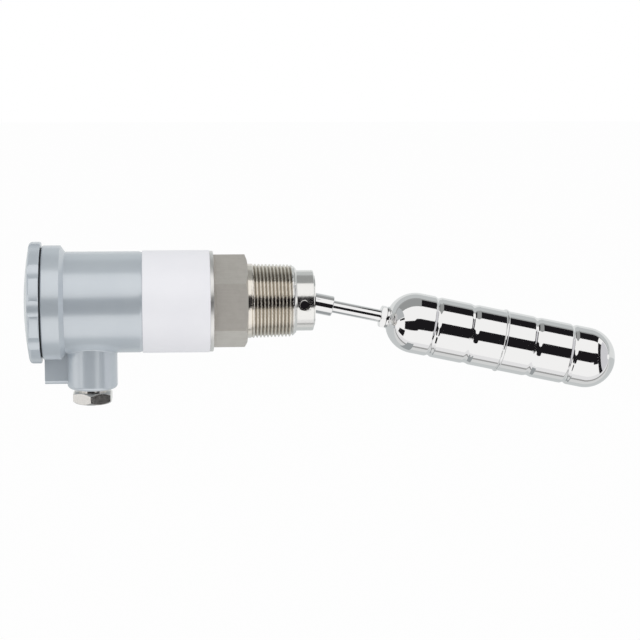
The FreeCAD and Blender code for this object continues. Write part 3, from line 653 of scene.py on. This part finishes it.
for name, colour, slot, node in (
        ("brown_insulation_finish", (0.25, 0.12, 0.06), "brown_insulation", "reed_lead_rear"),
        ("blue_insulation_finish", (0.06, 0.16, 0.42), "blue_insulation", "reed_lead_front")):
    insulation = Finish(name, Base_Color=colour)
    drawing = insulation.noise(3000, detail=2)
    insulation.set("Roughness", 0.3 + drawing * 0.15)
    insulation.bump(drawing, 0.008, 0.4)
    dress(insulation, node)


# Studio. The part is shown on white, as in the photograph, above a pale floor that keeps a faint
# shadow. Cards that only reflections see give the polished steel its bands: black ones in front,
# at the right and overhead, and grey ones behind and below.

def plain_material(name, colour):
    """Even grey that shows as written, whatever the light."""
    material = bpy.data.materials.new(name)
    material.use_nodes = True
    tree = material.node_tree
    tree.nodes.clear()
    glow = tree.nodes.new("ShaderNodeEmission")
    glow.inputs["Color"].default_value = (*colour, 1)
    output = tree.nodes.new("ShaderNodeOutputMaterial")
    tree.links.new(glow.outputs[0], output.inputs[0])
    return material


def between_places(value, x, start, end):
    """A plain number, or one of a pair that changes from the first to the second between two places."""
    if not isinstance(value, tuple):
        return value
    return value[0] + (value[1] - value[0]) * min(1, max(0, (x - start) / (end - start)))


def card(name, tone, low, high, left=-6.0, right=14.0, reach=1.5):
    """A curved card along the X axis, between two angles round it: 0 is in front and 90 overhead."""
    bpy.ops.object.select_all(action="DESELECT")
    bpy.ops.mesh.primitive_grid_add(x_subdivisions=40, y_subdivisions=12, size=1)
    piece = bpy.context.object
    piece.name = name
    for vertex in piece.data.vertices:
        x = left + (vertex.co.x + 0.5) * (right - left)
        bottom = between_places(low, x, 0.15, 0.35)
        top = between_places(high, x, -0.1, 0.1)
        angle = math.radians(bottom + (vertex.co.y + 0.5) * (top - bottom))
        vertex.co = (x, -reach * math.cos(angle), reach * math.sin(angle))
    piece.data.materials.append(plain_material(name + "_tone", tone))
    piece.visible_camera = False
    piece.visible_diffuse = False
    piece.visible_shadow = False
    piece.visible_transmission = False


# Angles are in degrees and places along X in metres.
black = (0.012, 0.011, 0.013)
card("front_flag", black, (-20, -12), (18, 25), left=-1.45, right=1.5)
card("front_right_flag", black, -21, -11, left=0.85, right=1.5)
card("right_flag", black, -75, 78, left=1.5, right=2.1)
card("right_card", (0.66, 0.66, 0.69), -75, 107, left=2.1)
card("left_high_flag", black, 27, 38, left=-3.2, right=-1.45)
card("left_high_card", (0.48, 0.50, 0.51), 42, 113, right=-1.45)
card("left_low_flag", black, -62, -27, left=-3.2, right=-1.3)
card("overhead_flag", black, 78, 113, left=0.6, right=1.45)
card("overhead_left_card", (0.33, 0.34, 0.34), 76, 113, left=-1.45, right=0.6)
card("back_high_card", (0.36, 0.37, 0.37), 113, 120, reach=1.52)
card("back_middle_card", (0.56, 0.585, 0.59), 120, 150)
card("back_low_card", (0.78, 0.80, 0.80), 150, 195)
card("under_back_card", (0.60, 0.625, 0.63), 195, 245)
card("under_card", (0.72, 0.73, 0.73), 245, 264)
card("under_line", (0.36, 0.36, 0.36), 264, 272)
card("under_front_card", (0.86, 0.86, 0.87), 272, 290)
card("under_left_card", (0.34, 0.36, 0.37), 236, 282, left=-0.5, right=-0.02, reach=1.45)

floor_height = -0.30
bpy.ops.object.select_all(action="DESELECT")
bpy.ops.mesh.primitive_plane_add(size=12, location=(0, 0, floor_height))
floor = bpy.context.object
floor.name = "floor"
floor.visible_glossy = False
paper = bpy.data.materials.new("floor_paper")
paper.use_nodes = True
tree = paper.node_tree
tree.nodes.clear()
output = tree.nodes.new("ShaderNodeOutputMaterial")
mixer = tree.nodes.new("ShaderNodeMixShader")
matt = tree.nodes.new("ShaderNodeBsdfDiffuse")
matt.inputs["Color"].default_value = (0.9, 0.9, 0.9, 1)
glow = tree.nodes.new("ShaderNodeEmission")
rays = tree.nodes.new("ShaderNodeLightPath")
share = tree.nodes.new("ShaderNodeMath")
share.operation = "MULTIPLY_ADD"
share.inputs[1].default_value = 0.58
share.inputs[2].default_value = 0.35
tree.links.new(rays.outputs["Is Camera Ray"], share.inputs[0])
tree.links.new(share.outputs[0], mixer.inputs[0])
tree.links.new(matt.outputs[0], mixer.inputs[1])
tree.links.new(glow.outputs[0], mixer.inputs[2])
tree.links.new(mixer.outputs[0], output.inputs[0])
floor.data.materials.append(paper)

world = bpy.data.worlds.new("studio")
bpy.context.scene.world = world
world.use_nodes = True
tree = world.node_tree
tree.nodes.clear()
output = tree.nodes.new("ShaderNodeOutputWorld")
sky = tree.nodes.new("ShaderNodeBackground")
sky.inputs["Color"].default_value = (1, 1, 1, 1)
rays = tree.nodes.new("ShaderNodeLightPath")
either = tree.nodes.new("ShaderNodeMath")
either.operation = "MAXIMUM"
tree.links.new(rays.outputs["Is Camera Ray"], either.inputs[0])
tree.links.new(rays.outputs["Is Glossy Ray"], either.inputs[1])
clear_too = tree.nodes.new("ShaderNodeMath")
clear_too.operation = "MAXIMUM"
tree.links.new(either.outputs[0], clear_too.inputs[0])
tree.links.new(rays.outputs["Is Transmission Ray"], clear_too.inputs[1])
level = tree.nodes.new("ShaderNodeMapRange")
level.inputs["To Min"].default_value = 0.88
level.inputs["To Max"].default_value = 1.0
tree.links.new(clear_too.outputs[0], level.inputs["Value"])
tree.links.new(level.outputs[0], sky.inputs["Strength"])
tree.links.new(sky.outputs[0], output.inputs[0])


def soft_light(name, place, aim, size, power):
    """A square soft light that mirrors don't show."""
    lamp = bpy.data.lights.new(name, "AREA")
    lamp.size = size
    lamp.energy = power
    holder = bpy.data.objects.new(name, lamp)
    bpy.context.scene.collection.objects.link(holder)
    holder.location = place
    holder.rotation_euler = (Vector(aim) - Vector(place)).to_track_quat("-Z", "Y").to_euler()
    holder.visible_glossy = False


soft_light("key_light", (-0.5, -1.3, 1.5), (0.05, 0, 0), 1.2, 4)
soft_light("fill_light", (1.2, -1.2, 0.5), (0.05, 0, 0), 1.0, 2)

# Camera. It stands well back, a little above the part and left of its middle, as the photograph's
# did.

camera_data = bpy.data.cameras.new("camera")
camera = bpy.data.objects.new("camera", camera_data)
bpy.context.scene.collection.objects.link(camera)
bpy.context.scene.camera = camera
camera_data.sensor_width = 36
camera_data.lens = 114.75
eye = Vector((-0.055, -1.294, 0.204))
target = Vector((0.0472, 0, -0.01296))
roll = 0.2
camera.location = eye
camera.rotation_mode = "QUATERNION"
aimed = (target - eye).to_track_quat("-Z", "Y")
camera.rotation_quaternion = aimed @ Quaternion((0, 0, 1), math.radians(roll))
bpy.context.scene.view_settings.view_transform = "Standard"
